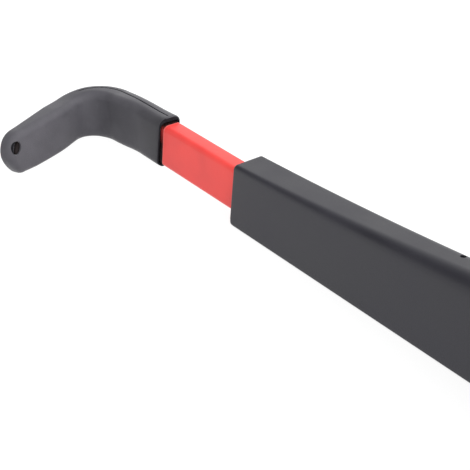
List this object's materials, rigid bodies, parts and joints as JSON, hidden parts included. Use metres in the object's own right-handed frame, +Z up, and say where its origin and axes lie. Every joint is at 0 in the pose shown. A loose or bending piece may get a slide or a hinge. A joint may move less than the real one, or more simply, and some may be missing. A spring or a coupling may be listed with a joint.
{
  "type": "steering wheel lock",
  "caption": "Telescopic steering wheel lock: a red flat bar with a rubber-covered hook slides in a long black key-locked housing that carries a matching fixed hook at its far end.",
  "frame": {"origin": "on the housing's flat lower edge, in the bar's centre plane, 100 mm in from the mouth where the sliding bar comes out", "axes": "+X along the bar from the sliding hook towards the fixed hook, -Y the way both hooks point, +Z up from the lower edge across the bar's width"},
  "size_m": [0.6432, 0.1034, 0.0542],
  "materials": {
    "black_moulding": "fine satin",
    "black_rubber": "matte",
    "red_coat": "gloss",
    "steel": "plain",
    "zinc": "satin black",
    "brass": "plain",
    "bright": "polished",
    "nylon": "plain"
  },
  "bodies": {
    "housing": {"front_sleeve": "black_moulding", "rear_sleeve": "black_moulding", "guide_tube": "steel", "mouth_bush": "nylon", "rear_bush": "nylon", "front_sleeve_pin": "steel", "rear_sleeve_pin": "steel", "lock_case": "zinc", "case_plate": "steel", "case_screw_1": "steel", "case_screw_2": "steel", "cylinder_barrel": "brass", "barrel_pin": "steel", "key_ring_trim": "bright", "bolt_spring": "steel", "fixed_bar": "red_coat", "fixed_hook_cover": "black_rubber", "bar_rivet_1": "steel", "bar_rivet_2": "steel"},
    "sliding_bar": {"slide_bar": "red_coat", "slide_hook_cover": "black_rubber", "stop_pin": "steel"},
    "plug": {"key_plug": "bright", "plug_clip": "steel", "wafer_1": "brass", "wafer_2": "brass", "wafer_3": "brass", "wafer_4": "brass", "wafer_5": "brass"},
    "bolt": {"locking_bolt": "steel"}
  },
  "joints": [
    {"name": "bar_slide", "type": "slide", "parent": "housing", "child": "sliding_bar", "axis": [-1, 0, 0], "range_m": [-0.06, 0.09]},
    {"name": "key_turn", "type": "hinge", "parent": "housing", "child": "plug", "pos_m": [0.1, 0, 0.0412], "axis": [0, 1, 0], "range_deg": [0, 90]},
    {"name": "bolt_drop", "type": "slide", "parent": "housing", "child": "bolt", "axis": [0, 0, -1], "range_m": [0, 0.00453], "deforming": ["bolt_spring"]}
  ],
  "couplings": [
    {"joint": "key_turn", "follows": "bolt_drop", "rad_per_m": 347.1}
  ]
}
